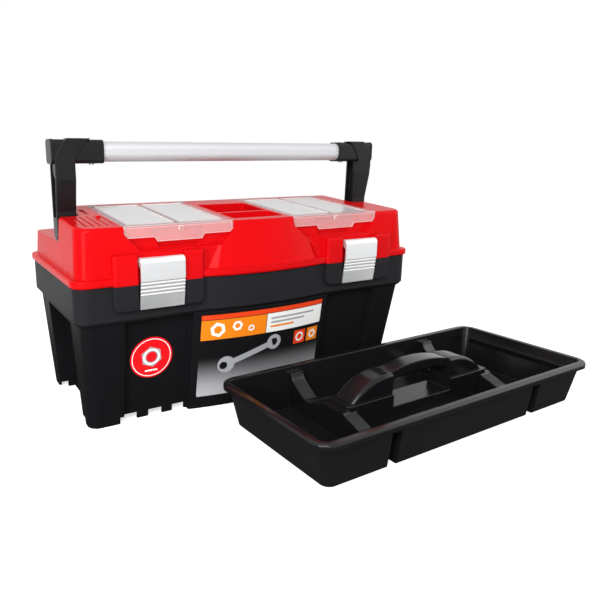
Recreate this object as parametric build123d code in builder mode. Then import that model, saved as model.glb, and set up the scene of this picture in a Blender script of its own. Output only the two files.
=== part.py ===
"""Toolbox with a hinged lid, two clear organizer covers, a folding handle, two latches and a loose tray.

Millimetres, +Z up, front of the box towards -Y, origin under the centre of the box on the ground.
"""

import os
from math import atan2, cos, degrees, radians, sin, sqrt, tan

from build123d import *

os.makedirs("parts", exist_ok=True)

# Box: the lid flange gives the overall length and width
flange_length = 550.0
flange_width = 268.6
flange_corner = 20.0
flange_height = 10.0
split_z = 199.5
wall = 3.0

# Outward bow of the front between the latches: its radius, and where it leaves the straight front
bow_radius = 500.0
bow_half_x = 103.0
bow_rise = bow_radius - sqrt(bow_radius**2 - bow_half_x**2)

# Base tub: half sizes under the band and at the ground, drawn in from the flange
waist_z = 150.0
waist_half_x = flange_length / 2 - 10.0
waist_half_y = flange_width / 2 - 9.3
foot_half_x = waist_half_x - 10.0
foot_half_y = waist_half_y - 24.0
foot_back_y = waist_half_y - 12.0
post_corner = 15.0
skirt_height = 12.0
notch_height = 10.0
post_x = foot_half_x - 47.0
centre_panel_x = 113.0
panel_depth = 7.0
centre_proud = 4.0
band_z = 149.5
band_step = 5.0
ledge_inside_z = band_z + 4.5
band_half_x = flange_length / 2 - 3.0
band_half_y = flange_width / 2 - 3.3
band_corner = 18.0
band_wall = 4.0
pocket_half_y = 66.0
pocket_depth = 22.0
pocket_top_z = 142.0
foot_notches = [
    (centre_panel_x + near, centre_panel_x + far) for near, far in ((3, 22), (37, 58), (74, 101))
]
end_notch = 12.0
pad_radius = 18.0
rib = 3.0

# Lid walls, sloping deck, and the low ledge the handle folds onto
lid_half_x = flange_length / 2 - 7.0
lid_half_y = flange_width / 2 - 6.3
lid_top_half_x = lid_half_x - 5.0
lid_top_half_y = lid_half_y - 7.0
lid_corner = 20.0
deck_front_z = 271.0
ridge_y = 52.0
ridge_z = 284.5
ledge_z = 244.0
ledge_x = lid_top_half_x - 27.0
ledge_front_y = -31.0
lid_wall_z = split_z + flange_height
deck_angle = degrees(atan2(ridge_z - deck_front_z, ridge_y + lid_top_half_y))
deck = Plane(
    origin=(0, -lid_top_half_y, deck_front_z),
    x_dir=(1, 0, 0),
    z_dir=(0, -sin(radians(deck_angle)), cos(radians(deck_angle))),
)

# Trapezoid panel down the middle of the lid's front
crest_low_x = 97.0
crest_high_x = 37.0
crest_step = 1.0
crest_bevel = 50.0

# Organizer bins and centre trays in the lid
bin_near_x = 55.0
bin_far_x = ledge_x - 36.0
bin_middle_x = (bin_near_x + bin_far_x) / 2
bin_front_y = 15.0 - lid_top_half_y
bin_back_y = ridge_y - 12.0
bin_floor_z = 232.0
tray_well_x = 42.0
well_front_y = 13.0 - lid_top_half_y
well_wall_y = -62.5
well_back_y = 10.0
shallow_floor_z = 262.5
deep_floor_z = 250.0

# Organizer covers
cover_near_x = bin_near_x - 5.0
cover_far_x = bin_far_x + 5.0
cover_gap = 0.4
cover_thick = 3.0
cover_proud = 0.5
cover_seat = 3.0
cover_axis_y = ridge_y + lid_top_half_y - 5.0
cover_axis_drop = 1.4
cover_barrel = 2.9
cover_pin = 1.5
cover_skirt_z = 256.0
cover_tab_z = 250.0
cover_tab_x = (cover_near_x + 47.0, cover_far_x - 45.0)
cover_axis = deck.from_local_coords(Vector(0, cover_axis_y, -cover_axis_drop))
recess_y = 5.0 - lid_top_half_y
recess_z = 240.0
scoop_y = 9.0 - lid_top_half_y

# Latches on the front of the lid
latch_x = flange_length / 2 - 113.0
latch_near_x = latch_x - 30.1
latch_far_x = latch_x + 30.3
latch_slot = (latch_x - 32.0, latch_x + 32.0)
latch_boss = (latch_x - 60.0, latch_x + 64.0)
boss_y = -flange_width / 2 - 3.7
boss_top_z = 238.0
latch_axis_y = boss_y + 3.5
latch_axis_z = 228.5
latch_eye = 4.5
latch_pin = 1.75
latch_face_y = boss_y - 5.5
latch_slot_y = boss_y + 8.7
latch_knee_z = 204.0
latch_foot_z = 167.0
latch_foot_y = boss_y + 0.2
latch_plate = 2.5
latch_grooves = (202.0, 197.2, 192.4, 187.6)
base_slot_y = boss_y + 5.0
base_boss_z = 166.0
catch_y = boss_y + 2.4
catch_z = 176.0

# Lid hinge at the back
hinge_y = flange_width / 2 + 6.7
hinge_z = split_z + 5.0
hinge_radius = 6.0
hinge_pin = 2.0
hinge_x = 150.0
knuckle = 16.0
knuckle_gap = 0.6
running = 0.06

# Carrying handle
pivot_y = -17.0
pivot_z = 258.0
pivot_pin = 4.0
arm_end = 12.0
arm_near_x = ledge_x + 2.5
arm_far_x = arm_near_x + 26.5
bar_y = -22.0
bar_z = 362.0
bar_depth = 24.0
bar_height = 27.0
bar_corner = 10.5
bar_wall = 1.6
bar_end_x = arm_near_x + 5.5
socket_near_x = arm_near_x - 39.5
socket_far_x = arm_far_x + 0.5
socket_depth = 30.0
socket_height = 31.0
socket_corner = 6.0
cap_far_x = socket_far_x + 3.5
arm_recess = 7.0
arm_edge = 4.0
strap_proud = 1.4
arm_front_y = bar_y - socket_depth / 2 - strap_proud
arm_back_y = bar_y + socket_depth / 2
strap_near_x = socket_near_x + 18.0
strap_bend_x = arm_near_x + 9.5
strap_z = bar_z + socket_height / 2 + strap_proud
screw_x = socket_near_x + 14.0
screw_radius = 2.0
screw_head = 3.6

# Loose tray beside the box
tray_turn = radians(2.1)
tray_place = Plane(
    origin=(163.5, -259.7, 0),
    x_dir=(cos(tray_turn), sin(tray_turn), 0),
    z_dir=(0, 0, 1),
)
tray_rim_x = 255.5
tray_rim_y = 110.5
tray_rim_corner = 24.0
tray_height = 62.0
tray_lip = 8.0
tray_top_x = tray_rim_x - 7.5
tray_top_y = tray_rim_y - 7.5
tray_foot_x = tray_top_x - 13.5
tray_foot_y = tray_top_y - 8.0
tray_corner = 13.0
tray_wall = 2.5
tray_ledge = 4.5
tray_ledge_z = 47.0
tray_ledge_y = 86.0
divider_x = 135.0
divider_half = 10.5
divider_high_z = 55.0
divider_low_z = 27.0
dip_high_y = tray_top_y - 13.0
dip_low_y = dip_high_y - 39.0
spine_x = 138.0
spine_y = 21.0
spine_z = 45.0
trough_x = 57.0
trough_z = 28.0
lug_y = 18.0
lug_top_z = 74.0
grip_y = 12.0
grip_top_z = 80.5
grip_thick = 13.0

# Printed sheets on the front
label_half_x = 103.0
label_low_z = 19.0
label_high_z = 146.0
sticker_x = 106.0 - flange_length / 2
sticker_z = 91.0
sticker_radius = 30.5
sheet = 0.3


def deck_z(y):
    """Height of the sloping lid deck at a distance y from the box centre."""
    return deck_front_z + (y + lid_top_half_y) * tan(radians(deck_angle))


def lid_half(z, inset=0.0):
    """Half sizes of the lid wall at a height."""
    share = (z - lid_wall_z) / (ridge_z - lid_wall_z)
    half_x = lid_half_x + share * (lid_top_half_x - lid_half_x) - inset
    half_y = lid_half_y + share * (lid_top_half_y - lid_half_y) - inset
    return half_x, half_y, half_y


def tub_half(z):
    """Half length, front and back of the corner posts of the base at a height."""
    share = z / waist_z
    half_x = foot_half_x + share * (waist_half_x - foot_half_x)
    front = foot_half_y + share * (waist_half_y - foot_half_y)
    back = foot_back_y + share * (waist_half_y - foot_back_y)
    return half_x, front, back


def tray_half_x(z):
    """Half length of the tray's outside at a height."""
    return tray_foot_x + (tray_top_x - tray_foot_x) * z / tray_height


def hopper(low, high, corner):
    """Block with flat sloping walls between two heights, its upright corners rounded."""
    (z0, x0, front0, back0), (z1, x1, front1, back1) = low, high
    reach_x, reach_y = max(x0, x1), max(front0, front1, back0, back1)
    with BuildPart() as block:
        with BuildSketch(Plane.XZ.offset(-reach_y)):
            Polygon((-x0, z0), (x0, z0), (x1, z1), (-x1, z1), align=None)
        extrude(amount=2 * reach_y)
        with BuildSketch(Plane.YZ.offset(-reach_x)):
            Polygon((-front0, z0), (back0, z0), (back1, z1), (-front1, z1), align=None)
        extrude(amount=2 * reach_x, mode=Mode.INTERSECT)
        upright = [e for e in block.edges() if abs(e.tangent_at(0.5).Z) > 0.7]
        fillet(upright, corner)
    return block.part


def bowed(low, high, half_x):
    """Block whose front bows outwards, leaning between two heights with the straight front beside it."""
    (z0, front0), (z1, front1) = low, high
    lean = Vector(0, front0 - front1, z1 - z0)
    place = Plane(origin=(0, -front0, z0), x_dir=(1, 0, 0), z_dir=lean)
    end_y = sqrt(bow_radius**2 - bow_half_x**2) - sqrt(bow_radius**2 - half_x**2)
    with BuildPart() as block:
        with BuildSketch(place.offset(-20)):
            with BuildLine():
                ThreePointArc((-half_x, end_y), (0, -bow_rise), (half_x, end_y))
                Polyline((half_x, end_y), (half_x, 30), (-half_x, 30), (-half_x, end_y))
            make_face()
        extrude(amount=lean.length + 40)
        prism(Plane.XY.offset(z0), box_points(-300, 300, -200, 200), -60, Mode.SUBTRACT)
        prism(Plane.XY.offset(z1), box_points(-300, 300, -200, 200), 60, Mode.SUBTRACT)
    return block.part


def tub(z0, z1, inset=0.0):
    """Lower part of the base between two heights: corner posts, recessed panels, proud centre panels."""
    x0, front0, back0 = tub_half(z0)
    x1, front1, back1 = tub_half(z1)
    low = (z0, x0 - inset, front0 - inset, back0 - inset)
    high = (z1, x1 - inset, front1 - inset, back1 - inset)
    body = hopper(low, high, post_corner - inset)
    proud = centre_proud - inset
    bow = bowed((z0, front0 + proud), (z1, front1 + proud), centre_panel_x - inset)
    with BuildPart() as block:
        add(body)
        near, far = centre_panel_x - inset, post_x + inset
        panel = inset + panel_depth
        for side in (-1, 1):
            with BuildSketch(Plane.YZ.offset(min(side * near, side * far))):
                Polygon((panel - front0, z0), (panel - front1, z1), (-200, z1), (-200, z0), align=None)
                Polygon((back0 - panel, z0), (back1 - panel, z1), (200, z1), (200, z0), align=None)
            extrude(amount=far - near, mode=Mode.SUBTRACT)
        with BuildSketch(Plane.YZ.offset(-near)):
            Polygon((0, z0), (back0 + proud, z0), (back1 + proud, z1), (0, z1), align=None)
        extrude(amount=2 * near)
        add(bow)
        # Where this is the room inside the base, the linings of the end pockets stand in it
        if inset > 0:
            for side in (-1, 1):
                prism(Plane.XZ.offset(-pocket_half_y - wall), pocket(side, wall), 2 * (pocket_half_y + wall),
                      Mode.SUBTRACT)
    return block.part


def pocket(side, lining=0.0):
    """Outline of an end pocket seen from the front, larger by its lining."""
    back_low = foot_half_x - pocket_depth - lining
    back_high = waist_half_x - pocket_depth - lining
    top = pocket_top_z + lining
    return [(side * back_low, -2), (side * back_high, top), (side * 300, top), (side * 300, -2)]


def rounded(z, half_x, half_y, corner, place=Plane.XY):
    """Rounded rectangle at a height above a plane."""
    with BuildSketch(place.offset(z)) as section:
        RectangleRounded(2 * half_x, 2 * half_y, corner)
    return section.sketch


def prism(plane, points, depth, mode=Mode.ADD):
    """Straight-sided outline pulled off a plane, drawn anticlockwise so that it goes the plane's way."""
    following = points[1:] + points[:1]
    turn = sum(x0 * y1 - x1 * y0 for (x0, y0), (x1, y1) in zip(points, following))
    with BuildSketch(plane) as outline:
        Polygon(*(points if turn > 0 else points[::-1]), align=None)
    extrude(outline.sketch, amount=depth, mode=mode)


def rod(x0, x1, y, z, radius, mode=Mode.ADD):
    """Round bar or bore along X."""
    with BuildSketch(Plane.YZ.offset(min(x0, x1))) as ring:
        with Locations((y, z)):
            Circle(radius)
    extrude(ring.sketch, amount=abs(x1 - x0), mode=mode)


def disc(plane, x, y, radius, depth, mode=Mode.ADD):
    """Round stud or hole standing on a plane."""
    with BuildSketch(plane) as ring:
        with Locations((x, y)):
            Circle(radius)
    extrude(ring.sketch, amount=depth, mode=mode)


def box_points(x0, x1, y0, y1):
    """Corners of a rectangle."""
    return [(x0, y0), (x1, y0), (x1, y1), (x0, y1)]


def skirted_band():
    """Band under the lid with a sloping lower edge, bowed in the middle of the front."""
    with BuildPart() as middle:
        add(bowed((band_z, band_half_y), (split_z, band_half_y), latch_boss[0] + 3))
        chamfer(middle.edges().filter_by(GeomType.CIRCLE).sort_by(Axis.Z)[0], band_step)
    with BuildPart() as block:
        extrude(rounded(band_z, band_half_x, band_half_y, band_corner), amount=split_z - band_z)
        chamfer(block.faces().sort_by(Axis.Z)[0].edges(), band_step)
        add(middle.part)
    return block.part


# Base: tub with posts, band, latch blocks, toothed skirt, end pockets and hinge ears
tub_outside = tub(0, waist_z)
tub_inside = tub(skirt_height + wall, ledge_inside_z + 0.5, wall)
skirt_inside = tub(-1, skirt_height, wall + 1)
band = skirted_band()
band_front = band_half_y - band_wall
bow_inside = bowed((ledge_inside_z, band_front), (split_z + 1, band_front), latch_boss[0] - 2)
with BuildPart() as base_shell:
    add(tub_outside)
    steps = [
        e
        for e in base_shell.edges()
        if e.length > waist_z and centre_panel_x - 1 < abs(e.center().X) < post_x + 1
    ]
    fillet(steps, 1.6)
    add(band)
    for side in (-1, 1):
        with BuildSketch(Plane.XZ.offset(band_half_y - 4)):
            with Locations((side * sum(latch_boss) / 2, (base_boss_z + split_z + 20) / 2)):
                RectangleRounded(latch_boss[1] - latch_boss[0], split_z + 20 - base_boss_z, 9)
        extrude(amount=-boss_y - band_half_y + 4)
    prism(Plane.XY.offset(split_z), box_points(-300, 300, -200, 200), 60, Mode.SUBTRACT)
    front_edges = [
        e
        for e in base_shell.edges()
        if abs(e.center().Y - boss_y) < 0.01 and e.center().Z < split_z - 0.5
    ]
    fillet(front_edges, 2.5)
    # Cavity, with the sloping step under the band carried inside
    add(tub_inside, mode=Mode.SUBTRACT)
    band_inside = rounded(
        ledge_inside_z, band_half_x - band_wall, band_half_y - band_wall, band_corner - band_wall
    )
    extrude(band_inside, amount=split_z - ledge_inside_z + 1, mode=Mode.SUBTRACT)
    add(bow_inside, mode=Mode.SUBTRACT)
    # Open space inside the skirt, with a pad and cross ribs under the floor
    add(skirt_inside, mode=Mode.SUBTRACT)
    disc(Plane.XY, 0, 0, pad_radius, skirt_height + 1)
    rib_x = foot_half_x - pocket_depth
    rib_front = -foot_half_y - centre_proud - bow_rise + wall / 2
    rib_back = foot_back_y + centre_proud - wall / 2
    prism(Plane.XY, box_points(-rib_x, rib_x, -rib / 2, rib / 2), skirt_height + 1)
    prism(Plane.XY, box_points(-rib / 2, rib / 2, rib_front, rib_back), skirt_height + 1)
    # Tall pockets in both ends, open below; their tops carry the tray
    for side in (-1, 1):
        prism(Plane.XZ.offset(-pocket_half_y), pocket(side), 2 * pocket_half_y, Mode.SUBTRACT)
    # Teeth along the lower edge
    for side in (-1, 1):
        for near, far in foot_notches:
            for low, high in ((-200, panel_depth + 12 - foot_half_y), (foot_back_y - panel_depth - 12, 200)):
                notch = box_points(side * near, side * far, low, high)
                prism(Plane.XY.offset(-1), notch, notch_height + 1, Mode.SUBTRACT)
        for low in (pocket_half_y - 1, -pocket_half_y - end_notch + 1):
            notch = box_points(side * (foot_half_x - 12), side * 300, low, low + end_notch)
            prism(Plane.XY.offset(-1), notch, notch_height, Mode.SUBTRACT)
    # Latch slots and catch ribs
    for side in (-1, 1):
        slot = box_points(side * latch_slot[0], side * latch_slot[1], base_boss_z - 12, split_z + 1)
        prism(Plane.XZ.offset(-base_slot_y), slot, 20, Mode.SUBTRACT)
        ramp = [
            (base_slot_y + 1, catch_z - 4),
            (base_slot_y + 1, catch_z + 5),
            (base_slot_y, catch_z + 4),
            (catch_y, catch_z + 1),
            (catch_y, catch_z - 1),
            (base_slot_y, catch_z - 3),
        ]
        start = min(side * (latch_slot[0] + 6), side * (latch_slot[1] - 6))
        prism(Plane.YZ.offset(start), ramp, latch_slot[1] - latch_slot[0] - 12)
    # Hinge ears behind the lid flange
    for side in (-1, 1):
        for place in (-1, 1):
            middle = side * hinge_x + place * (knuckle + knuckle_gap)
            ear = [
                (band_half_y - 2, hinge_z - 18),
                (band_half_y - 2, split_z - 0.6),
                (hinge_y - hinge_radius, split_z - 0.6),
                (hinge_y - hinge_radius, hinge_z),
                (hinge_y + hinge_radius, hinge_z),
                (hinge_y + hinge_radius, hinge_z - 4),
            ]
            prism(Plane.YZ.offset(middle - knuckle / 2), ear, knuckle)
            rod(middle - knuckle / 2, middle + knuckle / 2, hinge_y, hinge_z, hinge_radius)
            rod(middle - 10, middle + 10, hinge_y, hinge_z, hinge_pin, Mode.SUBTRACT)
base_shell.part.label = "base_shell"
export_step(base_shell.part, "parts/base_shell.step")

# Lid hinge pins
with BuildPart() as lid_hinge_pins:
    for side in (-1, 1):
        reach = 1.5 * knuckle + knuckle_gap
        rod(side * hinge_x - reach, side * hinge_x + reach, hinge_y, hinge_z, hinge_pin)
lid_hinge_pins.part.label = "lid_hinge_pins"
export_step(lid_hinge_pins.part, "parts/lid_hinge_pins.step")

# Printed sheets lying on the sloping front panels
front_slope = (waist_half_y - foot_half_y) / waist_z
panel_normal = (0, -1, -front_slope)


def front_plane(x, z, proud):
    """Plane on the front of the tub, facing out, its x to the right."""
    y = -(tub_half(z)[1] + proud)
    return Plane(origin=(x, y, z), x_dir=(1, 0, 0), z_dir=panel_normal)


def label_bow(proud):
    """Bowed block behind a sheet on the centre panel."""
    ends = [(z, tub_half(z)[1] + centre_proud + proud) for z in (label_low_z, label_high_z)]
    return bowed(*ends, label_half_x)


label_face = label_bow(sheet)
label_back = label_bow(0)
with BuildPart() as front_label:
    add(label_face)
    add(label_back, mode=Mode.SUBTRACT)
    with BuildSketch(Plane.XZ.offset(100)):
        with Locations((0, (label_low_z + label_high_z) / 2)):
            RectangleRounded(2 * label_half_x, label_high_z - label_low_z, 2.5)
    extrude(amount=100, mode=Mode.INTERSECT)
front_label.part.label = "front_label"
export_step(front_label.part, "parts/front_label.step")

with BuildPart() as round_sticker:
    with BuildSketch(front_plane(sticker_x, sticker_z, -panel_depth)):
        Circle(sticker_radius)
    extrude(amount=sheet)
round_sticker.part.label = "round_sticker"
export_step(round_sticker.part, "parts/round_sticker.step")

# Lid: outer form first, then the hollow under it, then bins, recesses and pin seats
lid_low = split_z + 2
lid_high = ridge_z + 6
lid_outside = hopper((lid_low, *lid_half(lid_low)), (lid_high, *lid_half(lid_high)), lid_corner)
under_top = bin_floor_z - wall
lid_inside = hopper(
    (split_z - 1, *lid_half(split_z - 1, wall)), (under_top, *lid_half(under_top, wall)), lid_corner - wall
)

# Bowed lip and trapezoid panel down the middle of the lid's front
with BuildPart() as lid_lip:
    add(bowed((split_z, flange_width / 2), (lid_wall_z, flange_width / 2), latch_boss[0] + 1))
    lip_edges = lid_lip.edges().filter_by(GeomType.CIRCLE).sort_by(Axis.Z)
    fillet(lip_edges[0], 2.5)
    fillet(lid_lip.edges().filter_by(GeomType.CIRCLE).sort_by(Axis.Z)[-1], crest_step * 0.8)
crest_ends = (
    (split_z, flange_width / 2 - crest_step),
    (deck_front_z, lid_half(deck_front_z)[1] + crest_step - bow_rise),
)
crest_room = bowed(
    (split_z - 1, crest_ends[0][1] - wall),
    (under_top, crest_ends[0][1] - wall - (crest_ends[0][1] - crest_ends[1][1]) * (under_top - split_z)
     / (deck_front_z - split_z)),
    crest_low_x - 30,
)
with BuildPart() as lid_crest:
    add(bowed(*crest_ends, crest_low_x + 3))
    wall_out = Vector(0, -1, (lid_top_half_y - lid_half_y) / (ridge_z - lid_wall_z)).normalized()
    for side in (-1, 1):
        corner = Vector(side * crest_low_x, -lid_half(split_z)[1], split_z)
        upper = Vector(side * crest_high_x, -lid_half(deck_front_z)[1], deck_front_z)
        along = (upper - corner).normalized()
        outward = wall_out.cross(along) * -side
        bevel = radians(crest_bevel)
        facet = Plane(origin=corner, x_dir=along, z_dir=outward * cos(bevel) + wall_out * sin(bevel))
        prism(facet, box_points(-200, 300, -200, 200), 200, Mode.SUBTRACT)
with BuildPart() as lid_shell:
    add(lid_outside)
    over = [
        (-200, deck_z(-200)),
        (ridge_y, ridge_z),
        (ridge_y + 3, ledge_z),
        (200, ledge_z),
        (200, 330),
        (-200, 330),
    ]
    prism(Plane.YZ.offset(-300), over, 600, Mode.SUBTRACT)
    for side in (-1, 1):
        corner = box_points(side * ledge_x, side * 300, ledge_front_y, 200)
        prism(Plane.XY.offset(ledge_z), corner, 90, Mode.SUBTRACT)
    rim_edges = [
        e
        for e in lid_shell.edges()
        if e.center().Z > deck_front_z - 2
        and (e.center().Y < -lid_top_half_y + 30 or abs(e.center().X) > ledge_x + 20)
        and e.length > 12
        and abs(e.tangent_at(0.5).Z) < 0.3
        and e.center().Y < ledge_front_y - 2
    ]
    fillet(rim_edges, 5)
    extrude(rounded(split_z, flange_length / 2, flange_width / 2, flange_corner), amount=flange_height)
    flange_edges = [
        e
        for e in lid_shell.edges()
        if abs(e.center().Z - split_z) < 0.1 or (
            abs(e.center().Z - lid_wall_z) < 0.1
            and (abs(e.center().X) > lid_half_x + 1.5 or abs(e.center().Y) > lid_half_y + 1.5)
        )
    ]
    fillet(flange_edges, 2.5)
    # Latch bosses
    for side in (-1, 1):
        with BuildSketch(Plane.XZ.offset(lid_half_y - 3)):
            with Locations((side * sum(latch_boss) / 2, (boss_top_z + split_z) / 2)):
                Rectangle(latch_boss[1] - latch_boss[0], boss_top_z - split_z)
        extrude(amount=-boss_y - lid_half_y + 3)
    boss_edges = [
        e
        for e in lid_shell.edges()
        if e.center().Y < boss_y + 7
        and e.center().Z > split_z + 1
        and (abs(abs(e.center().X) - latch_boss[0]) < 0.1 or abs(abs(e.center().X) - latch_boss[1]) < 0.1
             or abs(e.center().Z - boss_top_z) < 0.1)
        and e.center().Y < boss_y + 0.1
    ]
    fillet(boss_edges, 4.5)
    add(lid_lip.part)
    add(lid_crest.part)
    prism(Plane.YZ.offset(-300), over, 600, Mode.SUBTRACT)
    # Hollow under the lid, zone by zone, leaving a wall everywhere
    add(lid_inside, mode=Mode.SUBTRACT)
    add(crest_room, mode=Mode.SUBTRACT)
    under = under_top - 1
    ledge_far_x, ledge_back_y = lid_top_half_x - 4.5, lid_top_half_y - 9
    near_room, far_room = bin_far_x + wall, lid_top_half_x - 5
    front_room, back_room = 5 - lid_top_half_y, ledge_front_y - wall
    for side in (-1, 1):
        with BuildSketch(Plane.XY.offset(under)):
            with Locations((side * (near_room + far_room) / 2, (front_room + back_room) / 2)):
                RectangleRounded(far_room - near_room, back_room - front_room, 19)
        extrude(amount=deck_front_z - 5 - under, mode=Mode.SUBTRACT)
        near_x = bin_far_x + wall + 4
        slope_front = 29.0 - lid_top_half_y
        for far_x, back_y in ((ledge_x - wall, ridge_y - wall), (lid_top_half_x - 7, ledge_front_y - wall)):
            attic = [
                (slope_front, under),
                (slope_front, deck_z(slope_front) - wall - 1.5),
                (back_y, deck_z(back_y) - wall - 1.5),
                (back_y, under),
            ]
            start = min(side * near_x, side * far_x)
            prism(Plane.YZ.offset(start), attic, far_x - near_x, Mode.SUBTRACT)
        below_ledge = box_points(
            side * (ledge_x + wall), side * ledge_far_x, ledge_front_y + wall, ledge_back_y
        )
        prism(Plane.XY.offset(under), below_ledge, ledge_z - wall - under, Mode.SUBTRACT)
    below_ledge = box_points(-ledge_far_x, ledge_far_x, ridge_y + 3 + wall, ledge_back_y)
    prism(Plane.XY.offset(under), below_ledge, ledge_z - wall - under, Mode.SUBTRACT)
    centre_x = tray_well_x + wall
    for front_y, back_y, top_z in (
        (well_front_y - wall - 1, well_wall_y - 3.5, shallow_floor_z),
        (well_wall_y - 0.5, well_back_y + wall, deep_floor_z),
        (well_back_y + wall, ridge_y - wall, ridge_z - 4),
    ):
        room = box_points(-centre_x, centre_x, front_y, back_y)
        prism(Plane.XY.offset(under), room, top_z - wall - under, Mode.SUBTRACT)
    # Bins under the covers, and two open trays between them
    for side in (-1, 1):
        for near, far in ((bin_near_x, bin_middle_x - 1), (bin_middle_x + 1, bin_far_x)):
            with BuildSketch(Plane.XY.offset(bin_floor_z)):
                with Locations((side * (near + far) / 2, (bin_front_y + bin_back_y) / 2)):
                    RectangleRounded(far - near, bin_back_y - bin_front_y, 6)
            extrude(amount=80, mode=Mode.SUBTRACT)
    for front_y, back_y, floor_z in (
        (well_front_y, well_wall_y - 2.5, shallow_floor_z),
        (well_wall_y + 2.5, well_back_y, deep_floor_z),
    ):
        with BuildSketch(Plane.XY.offset(floor_z)):
            with Locations((0, (front_y + back_y) / 2)):
                RectangleRounded(2 * tray_well_x, back_y - front_y, 5)
        extrude(amount=80, mode=Mode.SUBTRACT)
    # Seats for the covers and the recesses under their front edges
    for side in (-1, 1):
        seat = box_points(
            side * (cover_near_x - cover_gap), side * (cover_far_x + cover_gap), -12, cover_axis_y + 3.6
        )
        prism(deck.offset(-cover_seat), seat, 30, Mode.SUBTRACT)
        gutter = box_points(
            side * (cover_near_x - cover_gap), side * (cover_far_x + cover_gap), cover_axis_y - 4.5,
            cover_axis_y + 3.6,
        )
        prism(deck.offset(-cover_axis_drop - cover_barrel - 0.5), gutter, 30, Mode.SUBTRACT)
        mouth = [
            (side * (cover_near_x - cover_gap), 300),
            (side * (cover_near_x - cover_gap), 259),
            (side * (cover_near_x + 20), recess_z),
            (side * (cover_far_x - 19), recess_z),
            (side * (cover_far_x + cover_gap), 261),
            (side * (cover_far_x + cover_gap), 300),
        ]
        prism(Plane.XZ.offset(-recess_y), mouth, 40, Mode.SUBTRACT)
        scoop = [
            (side * (cover_tab_x[0] - 5), 265),
            (side * (cover_tab_x[0] + 4), recess_z + 2),
            (side * (cover_tab_x[1] - 4), recess_z + 2),
            (side * (cover_tab_x[1] + 5), 265),
        ]
        prism(Plane.XZ.offset(-scoop_y), scoop, 40, Mode.SUBTRACT)
    # Latch slots and pin seats
    for side in (-1, 1):
        slot = box_points(side * latch_slot[0], side * latch_slot[1], split_z - 1, boss_top_z + 2)
        prism(Plane.XZ.offset(-latch_slot_y), slot, 20, Mode.SUBTRACT)
        rod(side * (latch_slot[0] - 8), side * (latch_slot[1] + 8), latch_axis_y, latch_axis_z, latch_pin,
            Mode.SUBTRACT)
        # Handle pivot boss behind the ledge wall
        rod(side * (ledge_x - 13), side * (ledge_x - 1), pivot_y, pivot_z, pivot_pin + 4)
        rod(side * (ledge_x - 10), side * (ledge_x + 4), pivot_y, pivot_z, pivot_pin, Mode.SUBTRACT)
        # Seats of the cover pins
        rod(side * (cover_near_x - 6), side * (cover_far_x + 9), cover_axis.Y, cover_axis.Z, cover_pin,
            Mode.SUBTRACT)
    # Ribbed patch, slot and peg on the left end of the deck
    for place in range(5):
        x = 9 * place - ledge_x - 11
        prism(deck.offset(-1.2), box_points(x - 1, x + 1, 14, 82), 10, Mode.SUBTRACT)
    prism(deck.offset(-1.8), box_points(10 - ledge_x, 16 - ledge_x, 98, 136), 10, Mode.SUBTRACT)
    disc(deck.offset(-1), 20 - ledge_x, 71, 3, 4)
    # Hinge knuckles on the flange
    for side in (-1, 1):
        web = [
            (flange_width / 2 - 4, split_z + 0.5),
            (hinge_y, hinge_z - hinge_radius),
            (hinge_y, hinge_z + hinge_radius),
            (flange_width / 2 - 4, lid_wall_z),
        ]
        prism(Plane.YZ.offset(side * hinge_x - knuckle / 2), web, knuckle)
        rod(side * hinge_x - knuckle / 2, side * hinge_x + knuckle / 2, hinge_y, hinge_z, hinge_radius)
        rod(side * hinge_x - 10, side * hinge_x + 10, hinge_y, hinge_z, hinge_pin + running, Mode.SUBTRACT)
lid_shell.part.label = "lid_shell"
export_step(lid_shell.part, "parts/lid_shell.step")

# Handle bar: thin rounded tube
with BuildPart() as handle_bar:
    with BuildSketch(Plane.YZ.offset(-bar_end_x)):
        with Locations((bar_y, bar_z)):
            RectangleRounded(bar_depth, bar_height, bar_corner)
            RectangleRounded(
                bar_depth - 2 * bar_wall, bar_height - 2 * bar_wall, bar_corner - bar_wall,
                mode=Mode.SUBTRACT,
            )
    extrude(amount=2 * bar_end_x)
    for side in (-1, 1):
        under_bar = Plane.XY.offset(bar_z - bar_height / 2 - 1)
        disc(under_bar, side * screw_x, bar_y, screw_radius, 5, Mode.SUBTRACT)
handle_bar.part.label = "handle_bar"
export_step(handle_bar.part, "parts/handle_bar.step")

with BuildPart() as bar_screws:
    for side in (-1, 1):
        under_socket = bar_z - socket_height / 2
        disc(Plane.XY.offset(under_socket), side * screw_x, bar_y, screw_head, -1.6)
        reach = (socket_height - bar_height) / 2 + 4
        disc(Plane.XY.offset(under_socket), side * screw_x, bar_y, screw_radius, reach)
bar_screws.part.label = "bar_screws"
export_step(bar_screws.part, "parts/bar_screws.step")

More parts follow.
